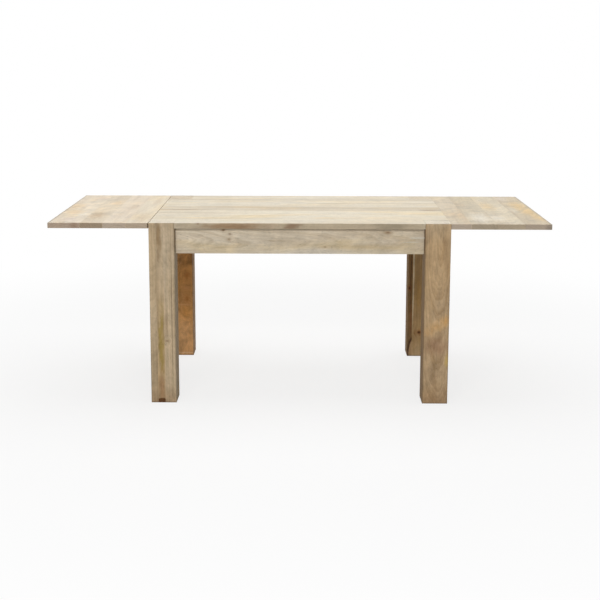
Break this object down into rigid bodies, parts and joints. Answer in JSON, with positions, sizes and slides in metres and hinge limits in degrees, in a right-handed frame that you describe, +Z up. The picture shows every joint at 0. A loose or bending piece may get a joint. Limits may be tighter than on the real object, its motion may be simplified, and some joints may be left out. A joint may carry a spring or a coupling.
{
  "type": "extending table",
  "caption": "Long wooden dining table with square corner legs, a boarded top between them, and a loose leaf at each end resting on draw-out arms.",
  "frame": {"origin": "on the floor under the middle of the main top", "axes": "+X along the table towards the right leaf, +Y from the front to the rear, +Z up"},
  "size_m": [1.999, 0.8, 0.74],
  "materials": {
    "top_wood": "pale washed, satin",
    "leg_wood": "pale washed, satin",
    "apron_wood": "pale washed, satin",
    "inner_wood": "planed, unfinished",
    "dowel_wood": "planed, unfinished",
    "zinc_steel": "zinc plated",
    "glide_plastic": "matt"
  },
  "bodies": {
    "frame": {"apron_front": "apron_wood", "apron_left_end": "apron_wood", "apron_rear": "apron_wood", "apron_right_end": "apron_wood", "bolt_nuts": "zinc_steel", "bolt_washers": "zinc_steel", "bracket_screws": "zinc_steel", "button_screws": "zinc_steel", "centre_rail": "inner_wood", "corner_bracket_front_left": "zinc_steel", "corner_bracket_front_right": "zinc_steel", "corner_bracket_rear_left": "zinc_steel", "corner_bracket_rear_right": "zinc_steel", "foot_glides": "glide_plastic", "frame_dowels": "dowel_wood", "hanger_bolts": "zinc_steel", "keeper_screws": "zinc_steel", "left_keeper_front": "inner_wood", "left_keeper_rear": "inner_wood", "leg_front_left": "leg_wood", "leg_front_right": "leg_wood", "leg_rear_left": "leg_wood", "leg_rear_right": "leg_wood", "right_keeper_front": "inner_wood", "right_keeper_rear": "inner_wood", "top_board_1": "top_wood", "top_board_2": "top_wood", "top_board_3": "top_wood", "top_board_4": "top_wood", "top_board_5": "top_wood", "top_board_front": "top_wood", "top_board_rear": "top_wood", "top_buttons": "inner_wood"},
    "left_leaf": {"left_batten_front": "inner_wood", "left_batten_rear": "inner_wood", "left_batten_screws": "zinc_steel", "left_leaf_board_1": "top_wood", "left_leaf_board_2": "top_wood", "left_leaf_board_3": "top_wood", "left_leaf_board_4": "top_wood", "left_leaf_dowels": "dowel_wood"},
    "left_front_arm": {"left_arm_front": "inner_wood", "left_stop_peg_front": "dowel_wood"},
    "left_rear_arm": {"left_arm_rear": "inner_wood", "left_stop_peg_rear": "dowel_wood"},
    "right_leaf": {"right_batten_front": "inner_wood", "right_batten_rear": "inner_wood", "right_batten_screws": "zinc_steel", "right_leaf_board_1": "top_wood", "right_leaf_board_2": "top_wood", "right_leaf_board_3": "top_wood", "right_leaf_board_4": "top_wood", "right_leaf_dowels": "dowel_wood"},
    "right_front_arm": {"right_arm_front": "inner_wood", "right_stop_peg_front": "dowel_wood"},
    "right_rear_arm": {"right_arm_rear": "inner_wood", "right_stop_peg_rear": "dowel_wood"}
  },
  "joints": [
    {"name": "left_front_arm_slide", "type": "slide", "parent": "frame", "child": "left_front_arm", "axis": [-1, 0, 0], "range_m": [-0.3457, 0]},
    {"name": "left_rear_arm_slide", "type": "slide", "parent": "frame", "child": "left_rear_arm", "axis": [-1, 0, 0], "range_m": [-0.3457, 0]},
    {"name": "left_leaf_pull", "type": "slide", "parent": "frame", "child": "left_leaf", "axis": [-1, 0, 0], "range_m": [-0.002, 0.4]},
    {"name": "right_front_arm_slide", "type": "slide", "parent": "frame", "child": "right_front_arm", "axis": [1, 0, 0], "range_m": [-0.3457, 0]},
    {"name": "right_rear_arm_slide", "type": "slide", "parent": "frame", "child": "right_rear_arm", "axis": [1, 0, 0], "range_m": [-0.3457, 0]},
    {"name": "right_leaf_pull", "type": "slide", "parent": "frame", "child": "right_leaf", "axis": [1, 0, 0], "range_m": [0, 0.4]}
  ]
}
